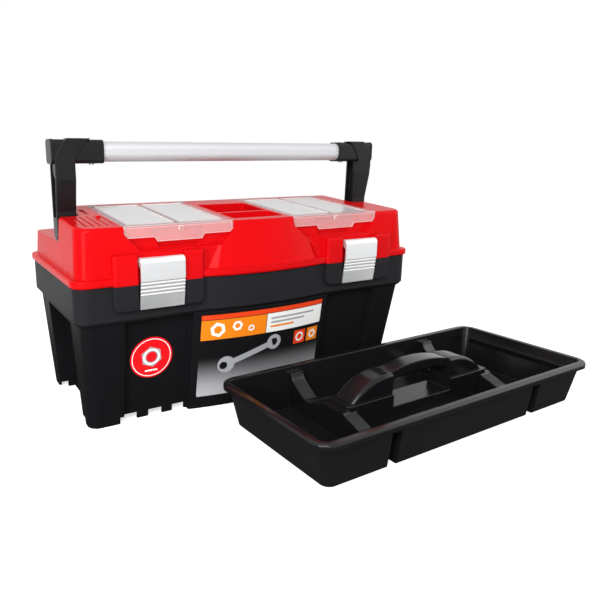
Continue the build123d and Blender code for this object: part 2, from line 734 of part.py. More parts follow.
for side, name in ((-1, "left"), (1, "right")):
    # Handle arm: recessed upright with a round foot, and the socket that holds the bar
    with BuildPart() as handle_arm:
        arm_profile = [
            (pivot_y - arm_end, pivot_z),
            (pivot_y + arm_end, pivot_z),
            (arm_back_y, bar_z - 8),
            (arm_front_y, bar_z - 8),
            (arm_front_y, bar_z - 36),
            (pivot_y - arm_end, ridge_z),
        ]
        start = min(side * arm_near_x, side * arm_far_x)
        prism(Plane.YZ.offset(start), arm_profile, arm_far_x - arm_near_x)
        rod(side * arm_near_x, side * arm_far_x, pivot_y, pivot_z, arm_end)
        outer_edges = [
            e for e in handle_arm.edges() if abs(e.tangent_at(0.5).X) < 0.1 and e.center().Z < bar_z - 9
        ]
        fillet(outer_edges, 1.5)
        # Recess in both faces of the upright
        arm_pocket = [
            (pivot_y - arm_end + arm_edge, pivot_z + arm_end + 6),
            (pivot_y + arm_end - arm_edge, pivot_z + arm_end + 6),
            (arm_back_y - arm_edge, bar_z - socket_height / 2 + 4),
            (arm_front_y + arm_edge, bar_z - socket_height / 2 + 4),
            (arm_front_y + arm_edge, bar_z - 36),
        ]
        for face_x, depth in ((arm_near_x, arm_recess), (arm_far_x, -arm_recess)):
            prism(Plane.YZ.offset(side * face_x), arm_pocket, side * depth, Mode.SUBTRACT)
        # Socket
        with BuildSketch(Plane.YZ.offset(min(side * socket_near_x, side * socket_far_x))):
            with Locations((bar_y, bar_z)):
                RectangleRounded(socket_depth, socket_height, socket_corner)
        extrude(amount=socket_far_x - socket_near_x)
        mouth_edges = [
            e for e in handle_arm.edges() if abs(e.center().X - side * socket_near_x) < 0.01
        ]
        fillet(mouth_edges, 1.2)
        # Strap sweeping from the arm over the front and top of the socket
        with BuildSketch(Plane.XZ.offset(-bar_y + 2)):
            with BuildLine():
                Line((side * strap_near_x, strap_z), (side * strap_bend_x, strap_z))
                ThreePointArc(
                    (side * strap_bend_x, strap_z),
                    (side * (arm_far_x - 5.5), bar_z + 2),
                    (side * (arm_far_x - 1.5), bar_z - 34),
                )
                Line((side * (arm_far_x - 1.5), bar_z - 34), (side * (arm_near_x + 1), bar_z - 34))
                Line((side * (arm_near_x + 1), bar_z - 34), (side * (arm_near_x + 1), bar_z - 20))
                ThreePointArc(
                    (side * (arm_near_x + 1), bar_z - 20),
                    (side * (arm_near_x - 6), bar_z + 1),
                    (side * strap_near_x, strap_z),
                )
            make_face()
        extrude(amount=socket_depth / 2 - 2 + strap_proud)
        with BuildSketch(Plane.YZ.offset(min(side * socket_near_x, side * cap_far_x))):
            with Locations((bar_y, bar_z)):
                RectangleRounded(bar_depth, bar_height, bar_corner)
        extrude(amount=cap_far_x - socket_near_x, mode=Mode.SUBTRACT)
        rod(side * (arm_near_x - 1), side * (arm_far_x - 2.6), pivot_y, pivot_z, pivot_pin + running,
            Mode.SUBTRACT)
        under_socket = Plane.XY.offset(bar_z - socket_height / 2 - 1)
        disc(under_socket, side * screw_x, bar_y, screw_radius, 6, Mode.SUBTRACT)
    handle_arm.part.label = "handle_arm_" + name
    export_step(handle_arm.part, "parts/handle_arm_" + name + ".step")

    # Cap that closes the socket
    with BuildPart() as handle_end_cap:
        with BuildSketch(Plane.YZ.offset(side * socket_far_x)):
            with Locations((bar_y, bar_z)):
                RectangleRounded(socket_depth + 1, socket_height + 1, socket_corner)
        extrude(amount=side * (cap_far_x - socket_far_x))
        rim = [e for e in handle_end_cap.edges() if abs(e.center().X - side * cap_far_x) < 0.01]
        fillet(rim, 1.5)
        with BuildSketch(Plane.YZ.offset(side * socket_far_x)):
            with Locations((bar_y, bar_z)):
                RectangleRounded(bar_depth - 0.2, bar_height - 0.2, bar_corner - 0.1)
                RectangleRounded(bar_depth - 4, bar_height - 4, bar_corner - 2, mode=Mode.SUBTRACT)
        extrude(amount=-side * 12)
    handle_end_cap.part.label = "handle_end_cap_" + name
    export_step(handle_end_cap.part, "parts/handle_end_cap_" + name + ".step")

    # Pin the arm turns on
    with BuildPart() as handle_pivot_pin:
        rod(side * (ledge_x - 10), side * (arm_far_x - 3), pivot_y, pivot_z, pivot_pin)
    handle_pivot_pin.part.label = "handle_pivot_pin_" + name
    export_step(handle_pivot_pin.part, "parts/handle_pivot_pin_" + name + ".step")

    # Latch: drawn plate with an eye at the top, grooves and an inward foot
    with BuildPart() as latch:
        with BuildSketch(Plane.YZ.offset(min(side * latch_near_x, side * latch_far_x))):
            with BuildLine():
                Polyline(
                    (latch_face_y, latch_axis_z - 2),
                    (latch_face_y, latch_knee_z),
                    (latch_foot_y, latch_foot_z),
                    (latch_foot_y + latch_plate, latch_foot_z + 0.4),
                    (latch_face_y + latch_plate, latch_knee_z + 0.2),
                    (latch_face_y + latch_plate, latch_axis_z - 8),
                    (latch_axis_y, latch_axis_z - latch_eye),
                    (latch_axis_y, latch_axis_z + latch_eye),
                    (latch_face_y + 6, latch_axis_z + latch_eye),
                )
                ThreePointArc(
                    (latch_face_y + 6, latch_axis_z + latch_eye),
                    (latch_face_y + 1.8, latch_axis_z + latch_eye - 2.1),
                    (latch_face_y, latch_axis_z - 2),
                )
            make_face()
            with Locations((latch_axis_y, latch_axis_z)):
                Circle(latch_eye)
                Circle(latch_pin + running, mode=Mode.SUBTRACT)
            for groove_z in latch_grooves:
                along = (latch_knee_z - groove_z) / (latch_knee_z - latch_foot_z)
                with Locations((latch_face_y + along * (latch_foot_y - latch_face_y) - 0.3, groove_z)):
                    Circle(1.5, mode=Mode.SUBTRACT)
        extrude(amount=latch_far_x - latch_near_x)
    latch.part.label = "latch_" + name
    export_step(latch.part, "parts/latch_" + name + ".step")

    with BuildPart() as latch_hinge_pin:
        rod(side * (latch_slot[0] - 8), side * (latch_slot[1] + 8), latch_axis_y, latch_axis_z, latch_pin)
    latch_hinge_pin.part.label = "latch_pin_" + name
    export_step(latch_hinge_pin.part, "parts/latch_pin_" + name + ".step")

    # Organizer cover: two thin panes in a raised frame, a front skirt with a finger tab, a hinge barrel
    with BuildPart() as organizer_cover:
        inner_x = cover_near_x + cover_gap
        outer_x = cover_far_x - cover_gap
        plate = box_points(side * inner_x, side * outer_x, -0.5, cover_axis_y)
        prism(deck.offset(cover_proud - cover_thick), plate, cover_thick)
        for near, far in ((bin_near_x, bin_middle_x), (bin_middle_x, bin_far_x)):
            pane = box_points(side * (near + 4), side * (far - 4), 13, cover_axis_y - 12)
            prism(deck.offset(cover_proud - 1.4), pane, 5, Mode.SUBTRACT)
        rod(side * inner_x, side * outer_x, cover_axis.Y, cover_axis.Z, cover_barrel)
        skirt = [
            (side * inner_x, deck_front_z - 1),
            (side * inner_x, cover_skirt_z + 3.5),
            (side * (inner_x + 4.5), cover_skirt_z),
            (side * (cover_tab_x[0] - 4), cover_skirt_z),
            (side * cover_tab_x[0], cover_tab_z),
            (side * cover_tab_x[1], cover_tab_z),
            (side * (cover_tab_x[1] + 4), cover_skirt_z),
            (side * (outer_x - 5), cover_skirt_z),
            (side * outer_x, cover_skirt_z + 6),
            (side * outer_x, deck_front_z - 1),
        ]
        prism(Plane.XZ.offset(lid_top_half_y - 1.6), skirt, 2.1)
        nub = box_points(
            side * (bin_middle_x - 3), side * (bin_middle_x + 3), deck_front_z - 7.5, deck_front_z - 2.5
        )
        prism(Plane.XZ.offset(lid_top_half_y), nub, 1.4)
        for end in (inner_x, outer_x - 14):
            rod(side * (end - 1), side * (end + 15), cover_axis.Y, cover_axis.Z, cover_pin + running,
                Mode.SUBTRACT)
    organizer_cover.part.label = "organizer_cover_" + name
    export_step(organizer_cover.part, "parts/organizer_cover_" + name + ".step")

    with BuildPart() as cover_hinge_pins:
        for inside, outside in ((cover_near_x + 13, cover_near_x - 6), (cover_far_x - 13, cover_far_x + 9)):
            rod(side * inside, side * outside, cover_axis.Y, cover_axis.Z, cover_pin)
    cover_hinge_pins.part.label = "cover_hinge_pins_" + name
    export_step(cover_hinge_pins.part, "parts/cover_hinge_pins_" + name + ".step")

# Tray: three tubs under one rim, with hollow dividers and a hollow spine
tray_outside = hopper(
    (0, tray_foot_x, tray_foot_y, tray_foot_y), (tray_height, tray_top_x, tray_top_y, tray_top_y),
    tray_corner,
)
tray_room_low, tray_room_high = tray_foot_y - tray_wall, tray_top_y - tray_wall
tray_inside = hopper(
    (tray_wall, tray_foot_x - tray_wall, tray_room_low, tray_room_low),
    (tray_height + 1, tray_top_x - tray_wall, tray_room_high, tray_room_high),
    tray_corner - tray_wall,
)
with BuildPart() as tray_shell:
    tray_body_z = tray_height - tray_lip
    add(tray_place * tray_outside)
    foot_edges = [e for e in tray_shell.edges() if e.center().Z < 0.1]
    fillet(foot_edges, 3)
    extrude(
        rounded(tray_body_z, tray_rim_x, tray_rim_y, tray_rim_corner, tray_place), amount=tray_lip
    )
    lip_edges = [e for e in tray_shell.edges() if abs(e.center().Z - tray_height) < 0.1]
    fillet(lip_edges, 3.2)
    add(tray_place * tray_inside, mode=Mode.SUBTRACT)
    end_low = tray_foot_y - 1
    end_high = tray_foot_y + (tray_top_y - tray_foot_y) * divider_high_z / tray_height - 1
    for side in (-1, 1):
        # Divider with a dipped top edge
        with BuildSketch(Plane(
            origin=tray_place.from_local_coords((side * divider_x - divider_half, 0, 0)),
            x_dir=tray_place.y_dir, z_dir=tray_place.x_dir,
        )):
            with BuildLine():
                Polyline(
                    (-end_high, divider_high_z), (-end_low, 1), (end_low, 1), (end_high, divider_high_z),
                    (dip_high_y, divider_high_z),
                )
                Spline(
                    (dip_high_y, divider_high_z), (dip_high_y - 15, 38), (dip_low_y, divider_low_z),
                    (32, divider_low_z + 6), (20, spine_z - 6),
                    tangents=((-0.25, -1), (-0.6, 1)),
                )
                Line((20, spine_z - 6), (-20, spine_z - 6))
                Spline(
                    (-20, spine_z - 6), (-32, divider_low_z + 6), (-dip_low_y, divider_low_z),
                    (15 - dip_high_y, 38), (-dip_high_y, divider_high_z),
                    tangents=((-0.6, -1), (-0.25, 1)),
                )
                Line((-dip_high_y, divider_high_z), (-end_high, divider_high_z))
            make_face()
        extrude(amount=2 * divider_half)
    with BuildSketch(tray_place):
        RectangleRounded(2 * spine_x, 2 * spine_y, 6)
    extrude(amount=spine_z)
    prism(tray_place.offset(trough_z), box_points(-trough_x, trough_x, -60, 60), 60, Mode.SUBTRACT)
    # Ledge along the inside of each end wall
    for side in (-1, 1):
        ledge_low_z = tray_ledge_z - 12
        ledge = [
            (side * (tray_half_x(ledge_low_z) - 1), ledge_low_z),
            (side * (tray_half_x(tray_ledge_z) - tray_wall - tray_ledge), tray_ledge_z - 2),
            (side * (tray_half_x(tray_ledge_z) - tray_wall - tray_ledge), tray_ledge_z),
            (side * (tray_half_x(tray_ledge_z) - 1), tray_ledge_z),
        ]
        start = tray_place.from_local_coords((0, tray_ledge_y, 0))
        prism(Plane(origin=start, x_dir=tray_place.x_dir, z_dir=-tray_place.y_dir), ledge, 2 * tray_ledge_y)
    # Hollow of the dividers and the spine, open below
    for side in (-1, 1):
        with BuildSketch(Plane(
            origin=tray_place.from_local_coords((side * divider_x - divider_half + tray_wall, 0, 0)),
            x_dir=tray_place.y_dir, z_dir=tray_place.x_dir,
        )):
            with BuildLine():
                Polyline(
                    (-110, tray_body_z - 3), (-110, -1), (110, -1), (110, tray_body_z - 3),
                    (dip_high_y + 1.5, tray_body_z - 3),
                )
                Spline(
                    (dip_high_y + 1.5, tray_body_z - 3), (dip_high_y - 15, 34),
                    (dip_low_y, divider_low_z - 3), (28, divider_low_z - 3),
                    tangents=((-0.25, -1), (-1, 0)),
                )
                Line((28, divider_low_z - 3), (-28, divider_low_z - 3))
                Spline(
                    (-28, divider_low_z - 3), (-dip_low_y, divider_low_z - 3), (15 - dip_high_y, 34),
                    (-dip_high_y - 1.5, tray_body_z - 3),
                    tangents=((-1, 0), (-0.25, 1)),
                )
                Line((-dip_high_y - 1.5, tray_body_z - 3), (-110, tray_body_z - 3))
            make_face()
        extrude(amount=2 * (divider_half - tray_wall), mode=Mode.SUBTRACT)
        near, far = trough_x + tray_wall, spine_x - tray_wall
        hollow = box_points(side * near, side * far, -spine_y + tray_wall, spine_y - tray_wall)
        prism(tray_place.offset(-1), hollow, spine_z - tray_wall + 1, Mode.SUBTRACT)
    hollow = box_points(-trough_x - 3, trough_x + 3, -spine_y + tray_wall, spine_y - tray_wall)
    prism(tray_place.offset(-1), hollow, trough_z - tray_wall + 1, Mode.SUBTRACT)
tray_shell.part.label = "tray_shell"
export_step(tray_shell.part, "parts/tray_shell.step")

# Tray handle: two sloping lugs on the spine and a slim grip between them
with BuildPart() as tray_handle:
    handle_plane = Plane(
        origin=tray_place.from_local_coords((0, 0, 0)), x_dir=tray_place.x_dir, z_dir=-tray_place.y_dir
    )
    for side in (-1, 1):
        with BuildSketch(handle_plane.offset(-lug_y)):
            with BuildLine():
                Polyline((side * 129, spine_z), (side * trough_x, spine_z), (side * trough_x, lug_top_z))
                ThreePointArc(
                    (side * trough_x, lug_top_z), (side * 102, lug_top_z - 8.5), (side * 129, spine_z)
                )
            make_face()
        extrude(amount=2 * lug_y)
    lug_edges = [
        e
        for e in tray_handle.edges()
        if e.geom_type == GeomType.CIRCLE
    ]
    fillet(lug_edges, 5)
    with BuildSketch(handle_plane.offset(-grip_y)):
        with BuildLine():
            ThreePointArc((-trough_x - 6, lug_top_z - 2), (0, grip_top_z), (trough_x + 6, lug_top_z - 2))
            Line((trough_x + 6, lug_top_z - 2), (trough_x + 6, lug_top_z - 2 - grip_thick))
            ThreePointArc(
                (trough_x + 6, lug_top_z - 2 - grip_thick), (0, grip_top_z - grip_thick),
                (-trough_x - 6, lug_top_z - 2 - grip_thick),
            )
            Line((-trough_x - 6, lug_top_z - 2 - grip_thick), (-trough_x - 6, lug_top_z - 2))
        make_face()
    extrude(amount=2 * grip_y)
tray_handle.part.label = "tray_handle"
export_step(tray_handle.part, "parts/tray_handle.step")
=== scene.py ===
from math import atan, cos, pi, radians

import bpy
from mathutils import Euler, Matrix, Vector


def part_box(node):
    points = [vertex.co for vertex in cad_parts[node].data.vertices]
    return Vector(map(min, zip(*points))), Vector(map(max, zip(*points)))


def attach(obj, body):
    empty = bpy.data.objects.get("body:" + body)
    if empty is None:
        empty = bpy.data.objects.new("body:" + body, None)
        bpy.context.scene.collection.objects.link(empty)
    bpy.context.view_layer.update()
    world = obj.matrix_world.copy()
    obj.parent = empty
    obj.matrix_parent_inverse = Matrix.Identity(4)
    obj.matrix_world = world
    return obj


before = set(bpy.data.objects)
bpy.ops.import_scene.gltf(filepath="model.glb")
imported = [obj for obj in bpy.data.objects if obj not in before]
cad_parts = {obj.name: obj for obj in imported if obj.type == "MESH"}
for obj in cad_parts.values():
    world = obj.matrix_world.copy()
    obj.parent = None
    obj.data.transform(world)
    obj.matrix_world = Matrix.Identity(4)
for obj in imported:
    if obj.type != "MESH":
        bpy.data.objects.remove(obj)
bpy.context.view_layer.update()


# Base of the box: a deep tub of black polypropylene, injection moulded in one piece.
# Its mould was spark-eroded, so the walls carry a fine matt grain and every edge a small moulded radius.
# The band under the lid is painted paler than the walls below, as painted light on the band and painted shade
# on the walls.

MM = 0.001
polypropylene_ior = 1.49


def linear(colour):
    """Linear RGBA of an sRGB hex colour."""
    parts = [int(colour[i:i + 2], 16) / 255 for i in (1, 3, 5)]
    return [c / 12.92 if c <= 0.04045 else ((c + 0.055) / 1.055) ** 2.4 for c in parts] + [1.0]


def node(tree, kind, settings=None, links=None):
    """Adds a node, sets its sockets and properties by name, and links its inputs."""
    made = tree.nodes.new(kind)
    for name, value in (settings or {}).items():
        if isinstance(name, int) or name in made.inputs:
            made.inputs[name].default_value = value
        else:
            setattr(made, name, value)
    for name, source in (links or {}).items():
        tree.links.new(source, made.inputs[name])
    return made


def new_material(name):
    """Empty node material with its tree, output and object coordinates."""
    made = bpy.data.materials.new(name)
    made.use_nodes = True
    tree = made.node_tree
    tree.nodes.clear()
    output = node(tree, "ShaderNodeOutputMaterial")
    place = node(tree, "ShaderNodeTexCoord").outputs["Object"]
    return made, tree, output, place


def moulded_plastic(name, deep, pale, gloss, shine, grain_mm, relief_mm, edge_mm, painted_light_above_mm=0):
    """Injection-moulded polypropylene: a slow drift in tone and gloss, a fine grain and radiused edges.

    Above a given height, where one is given, the tone is painted paler as painted light, and below it stays
    darker as painted shade.
    """
    cloud_mm = 70
    gloss_swing = 0.05
    made, tree, output, place = new_material(name)
    cloud = node(tree, "ShaderNodeTexNoise", {"Scale": 1 / (cloud_mm * MM), "Detail": 3.0}, {"Vector": place})
    drift = cloud.outputs["Fac"]
    # Painted light and shade: the tone ramps paler above the given height and stays darker below it.
    if painted_light_above_mm:
        drift_share = 0.3
        painted_light_share = 0.7
        fade_low = (painted_light_above_mm - 2) * MM
        fade_high = (painted_light_above_mm + 4) * MM
        height = node(tree, "ShaderNodeSeparateXYZ", links={"Vector": place}).outputs["Z"]
        painted_light_ramp = node(tree, "ShaderNodeMapRange",
                    {"From Min": fade_low, "From Max": fade_high, "To Max": painted_light_share}, {"Value": height})
        drift = node(tree, "ShaderNodeMath", {"operation": "MULTIPLY_ADD", 1: drift_share},
                     {0: drift, 2: painted_light_ramp.outputs["Result"]}).outputs["Value"]
    tone = node(tree, "ShaderNodeMix", {"data_type": "RGBA", 6: linear(deep), 7: linear(pale)}, {0: drift})
    sheen = node(tree, "ShaderNodeMapRange", {"To Min": gloss - gloss_swing, "To Max": gloss + gloss_swing},
                 {"Value": cloud.outputs["Fac"]})
    grain = node(tree, "ShaderNodeTexNoise", {"Scale": 1 / (grain_mm * MM), "Detail": 2.0}, {"Vector": place})
    edge = node(tree, "ShaderNodeBevel", {"samples": 6, "Radius": edge_mm * MM})
    relief = node(tree, "ShaderNodeBump", {"Distance": relief_mm * MM, "Strength": 0.8},
                  {"Height": grain.outputs["Fac"], "Normal": edge.outputs["Normal"]})
    shell = node(tree, "ShaderNodeBsdfPrincipled", {"IOR": polypropylene_ior, "Specular IOR Level": shine},
                 {"Base Color": tone.outputs[2], "Roughness": sheen.outputs["Result"],
                  "Normal": relief.outputs["Normal"]})
    tree.links.new(shell.outputs["BSDF"], output.inputs["Surface"])
    return made


def dress(material, *names):
    """Puts one material on CAD nodes."""
    for name in names:
        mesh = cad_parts[name].data
        mesh.materials.clear()
        mesh.materials.append(material)


# The base's tone is painted paler above 150 mm as painted light, and darker below as painted shade.
base_plastic = moulded_plastic("black_grained_polypropylene", deep="#101012", pale="#242427",
                               gloss=0.48, shine=0.06, grain_mm=1.5, relief_mm=0.05, edge_mm=1.6,
                               painted_light_above_mm=150)
dress(base_plastic, "base_shell")


# Hinge pins, latch pins, cover pins and bar screws: drawn steel wire cut to length.
# Drawing leaves faint lines round a bright grey that is a little darker than the aluminium.

def drawn_metal(name, deep, pale, gloss, line_mm, run_mm, relief_mm, anisotropy, edge_mm, bare=1.0):
    """Metal with lines along the length of the box, bare or partly veiled by a milky oxide."""
    gloss_swing = 0.07
    made, tree, output, place = new_material(name)
    along = node(tree, "ShaderNodeMapping",
                 {"Scale": (1 / (run_mm * MM), 1 / (line_mm * MM), 1 / (line_mm * MM))}, {"Vector": place})
    lines = node(tree, "ShaderNodeTexNoise", {"Scale": 1.0, "Detail": 4.0},
                 {"Vector": along.outputs["Vector"]})
    tone = node(tree, "ShaderNodeMix", {"data_type": "RGBA", 6: linear(deep), 7: linear(pale)},
                {0: lines.outputs["Fac"]})
    sheen = node(tree, "ShaderNodeMapRange", {"To Min": gloss - gloss_swing, "To Max": gloss + gloss_swing},
                 {"Value": lines.outputs["Fac"]})
    edge = node(tree, "ShaderNodeBevel", {"samples": 6, "Radius": edge_mm * MM})
    relief = node(tree, "ShaderNodeBump", {"Distance": relief_mm * MM, "Strength": 0.6},
                  {"Height": lines.outputs["Fac"], "Normal": edge.outputs["Normal"]})
    metal = node(tree, "ShaderNodeBsdfPrincipled", {"Metallic": bare, "Anisotropic": anisotropy},
                 {"Base Color": tone.outputs[2], "Roughness": sheen.outputs["Result"],
                  "Normal": relief.outputs["Normal"]})
    tree.links.new(metal.outputs["BSDF"], output.inputs["Surface"])
    return made


pin_steel = drawn_metal("drawn_steel_wire", deep="#8E9094", pale="#B4B6B9", gloss=0.32,
                        line_mm=0.6, run_mm=20, relief_mm=0.01, anisotropy=0.3, edge_mm=0.2)
dress(pin_steel, "lid_hinge_pins", "latch_pin_left", "latch_pin_right", "cover_hinge_pins_left",
      "cover_hinge_pins_right", "handle_pivot_pin_left", "handle_pivot_pin_right", "bar_screws")


# Front label: a coated paper sheet stuck on the proud centre panel, printed with plain blocks of colour.
# Under the gloss coat the inks are flat, apart from a silver fade at the foot of the sheet.

gloss_coat = {"Roughness": 0.3, "IOR": 1.5, "Specular IOR Level": 0.22}


def print_ink(name, colour):
    """Flat ink under a gloss coat, with the faint mottle of an offset print."""
    mottle_mm = 2
    mottle_swing = 0.06
    made, tree, output, place = new_material(name)
    mottle = node(tree, "ShaderNodeTexNoise", {"Scale": 1 / (mottle_mm * MM), "Detail": 2.0},
                  {"Vector": place})
    value = node(tree, "ShaderNodeMapRange", {"To Min": 1 - mottle_swing, "To Max": 1 + mottle_swing},
                 {"Value": mottle.outputs["Fac"]})
    tone = node(tree, "ShaderNodeHueSaturation", {"Color": linear(colour)},
                {"Value": value.outputs["Result"]})
    sheet = node(tree, "ShaderNodeBsdfPrincipled", gloss_coat, {"Base Color": tone.outputs["Color"]})
    tree.links.new(sheet.outputs["BSDF"], output.inputs["Surface"])
    return made


def fading_ink(name, deep, pale, low_z, high_z):
    """Dark ink that fades to silver between two heights."""
    made, tree, output, place = new_material(name)
    height = node(tree, "ShaderNodeSeparateXYZ", links={"Vector": place}).outputs["Z"]
    share = node(tree, "ShaderNodeMapRange",
                 {"From Min": low_z, "From Max": high_z, "interpolation_type": "SMOOTHSTEP"},
                 {"Value": height})
    tone = node(tree, "ShaderNodeMix", {"data_type": "RGBA", 6: linear(pale), 7: linear(deep)},
                {0: share.outputs["Result"]})
    sheet = node(tree, "ShaderNodeBsdfPrincipled", gloss_coat, {"Base Color": tone.outputs[2]})
    tree.links.new(sheet.outputs["BSDF"], output.inputs["Surface"])
    return made


def sheet_place(name):
    """Matrix from a printed sheet's own plane to the box: x right, y up the sheet, z out of its face."""
    edge_height = 0.2 * MM
    low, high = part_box(name)
    corners = [v.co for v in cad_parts[name].data.vertices]
    top_y = min(c.y for c in corners if c.z > high.z - edge_height)
    foot_y = min(c.y for c in corners if c.z < low.z + edge_height)
    lean = atan((foot_y - top_y) / (high.z - low.z))
    middle = Vector(((low.x + high.x) / 2, (top_y + foot_y) / 2, (low.z + high.z) / 2))
    return Matrix.Translation(middle) @ Euler((pi / 2 + lean, 0, 0)).to_matrix().to_4x4()


def printed(place, material, kind, x, y, size, turn=0.0, hole=0.0):
    """Patch of ink in front of a sheet: a bar, or a disc or ring of so many sides, placed in millimetres."""
    ahead_mm = 1
    bpy.ops.object.select_all(action="DESELECT")
    if kind == "bar":
        bpy.ops.mesh.primitive_plane_add(size=2 * MM)
        patch = bpy.context.object
        patch.scale = (size[0] / 2, size[1] / 2, 1)
        bpy.ops.object.transform_apply(location=False, rotation=False, scale=True)
    else:
        bpy.ops.mesh.primitive_circle_add(vertices=kind, radius=size * MM, fill_type="NGON")
        patch = bpy.context.object
        if hole:
            bpy.ops.object.mode_set(mode="EDIT")
            bpy.ops.mesh.select_all(action="SELECT")
            bpy.ops.mesh.inset(thickness=(size - hole) * MM * cos(pi / kind))
            bpy.ops.mesh.delete(type="FACE")
            bpy.ops.object.mode_set(mode="OBJECT")
    patch.data.materials.append(material)
    spot = Matrix.Translation((x * MM, y * MM, ahead_mm * MM))
    patch.matrix_world = place @ spot @ Matrix.Rotation(radians(turn), 4, "Z")
    return patch


def joined(pieces):
    """One object from several, with its place in the mesh."""
    bpy.ops.object.select_all(action="DESELECT")
    for piece in pieces:
        piece.select_set(True)
    bpy.context.view_layer.objects.active = pieces[0]
    bpy.ops.object.join()
    bpy.ops.object.transform_apply(location=True, rotation=True, scale=True)
    return bpy.context.object


def print_on(name, sheet, layers, body):
    """Cuts each layer of ink into strips, lays it on a sheet above the layer before, and joins them all."""
    strip = 5 * MM
    ink_thickness = 0.06 * MM
    low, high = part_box(sheet)
    laid = []
    for level, patches in enumerate(layers, 1):
        layer = joined(patches)
        bpy.ops.object.mode_set(mode="EDIT")
        for cut in range(1, int((high.x - low.x) / strip) + 1):
            bpy.ops.mesh.select_all(action="SELECT")
            bpy.ops.mesh.bisect(plane_co=(low.x + cut * strip, 0, 0), plane_no=(1, 0, 0))
        bpy.ops.object.mode_set(mode="OBJECT")
        lay = layer.modifiers.new("lay", "SHRINKWRAP")
        lay.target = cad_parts[sheet]
        lay.wrap_method = "PROJECT"
        lay.wrap_mode = "ABOVE_SURFACE"
        lay.use_project_y = True
        lay.offset = level * ink_thickness
        bpy.ops.object.modifier_apply(modifier="lay")
        laid.append(layer)
    piece = joined(laid)
    piece.name = name
    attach(piece, body)


fade_height = 62 * MM
label_low, label_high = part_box("front_label")
label_face = sheet_place("front_label")
dark_ink = fading_ink("label_dark_fade", "#141416", "#B7B8BB", label_low.z, label_low.z + fade_height)
orange_ink = print_ink("label_orange", "#FA8A1C")
scarlet_ink = print_ink("label_scarlet", "#F0461E")
white_ink = print_ink("label_white", "#FAFAF8")
silver_ink = print_ink("label_silver", "#A9ABAF")
black_ink = print_ink("label_black", "#151517")
dress(dark_ink, "front_label")
label_layers = [
    [
        printed(label_face, scarlet_ink, "bar", 0, 59.5, (204, 7)),
        printed(label_face, orange_ink, "bar", -52.5, 40, (99, 30)),
        printed(label_face, white_ink, "bar", 50, 40, (104, 30)),
        printed(label_face, silver_ink, "bar", -24, -4, (74, 9), turn=18),
        printed(label_face, scarlet_ink, "bar", 62, 8, (22, 22)),
        printed(label_face, orange_ink, "bar", 88, 8, (22, 22)),
    ],
    [
        printed(label_face, white_ink, 6, -78, 40, 11.5, turn=12, hole=6.4),
        printed(label_face, white_ink, 6, -49, 43, 8, turn=38, hole=4.2),
        printed(label_face, white_ink, 6, -27, 37, 5.4, turn=5, hole=2.8),
        printed(label_face, silver_ink, "bar", 45, 47, (80, 3)),
        printed(label_face, silver_ink, "bar", 36, 40.5, (62, 3)),
        printed(label_face, orange_ink, "bar", 26, 34, (42, 3)),
        printed(label_face, silver_ink, 32, -62, -16.3, 13),
        printed(label_face, silver_ink, 32, 14, 8.3, 12, hole=6.0),
        printed(label_face, white_ink, 24, 62, 8, 7.5, hole=4.8),
        printed(label_face, white_ink, 6, 88, 8, 7.5, turn=30, hole=4.2),
    ],
    [printed(label_face, black_ink, 6, -66, -17.6, 6.5, turn=18)],
]
print_on("label_art", "front_label", label_layers, "base")


# Round sticker below the left latch: the same coated sheet, cut as a disc and printed red.
# A plain hexagon nut in silver inks stands in its middle, with a thin ring near the rim.

red_ink = print_ink("sticker_red", "#EC0E18")
steel_ink = print_ink("sticker_grey", "#8B8D91")
sticker_face = sheet_place("round_sticker")
dress(red_ink, "round_sticker")
sticker_layers = [
    [printed(sticker_face, white_ink, 64, 0, 0, 28.2, hole=27.0)],
    [
        printed(sticker_face, silver_ink, 6, 0, 1, 15.5, turn=8),
        printed(sticker_face, white_ink, "bar", 0, -19.5, (18, 2.4)),
    ],
    [printed(sticker_face, white_ink, 48, 0, 1, 12.2)],
    [printed(sticker_face, steel_ink, 48, 0, 1, 9.0)],
    [printed(sticker_face, red_ink, 48, 0, 1, 7.6)],
]
print_on("sticker_art", "round_sticker", sticker_layers, "base")


# Lid: one red polypropylene moulding with bins, trays, latch blocks and a trapezoid front panel.
# Its mould was polished smoother than the base's, so the red keeps a soft gloss on its round corners.

lid_plastic = moulded_plastic("red_satin_polypropylene", deep="#C8050B", pale="#D60B12",
                              gloss=0.28, shine=0.06, grain_mm=1.6, relief_mm=0.05, edge_mm=2.4)
dress(lid_plastic, "lid_shell")


# Organizer covers: milky translucent polypropylene, with frosted panes in a smoother, clearer frame.
# The panes look whitish. The frame and skirt pass the red of the lid, and their edges are painted white and
# denser, a painted highlight.

pane_middles_x = (91.25 * MM, 163.75 * MM)
pane_half_x = 32.25 * MM
pane_middle_y = -36.6 * MM
pane_half_y = 71.4 * MM


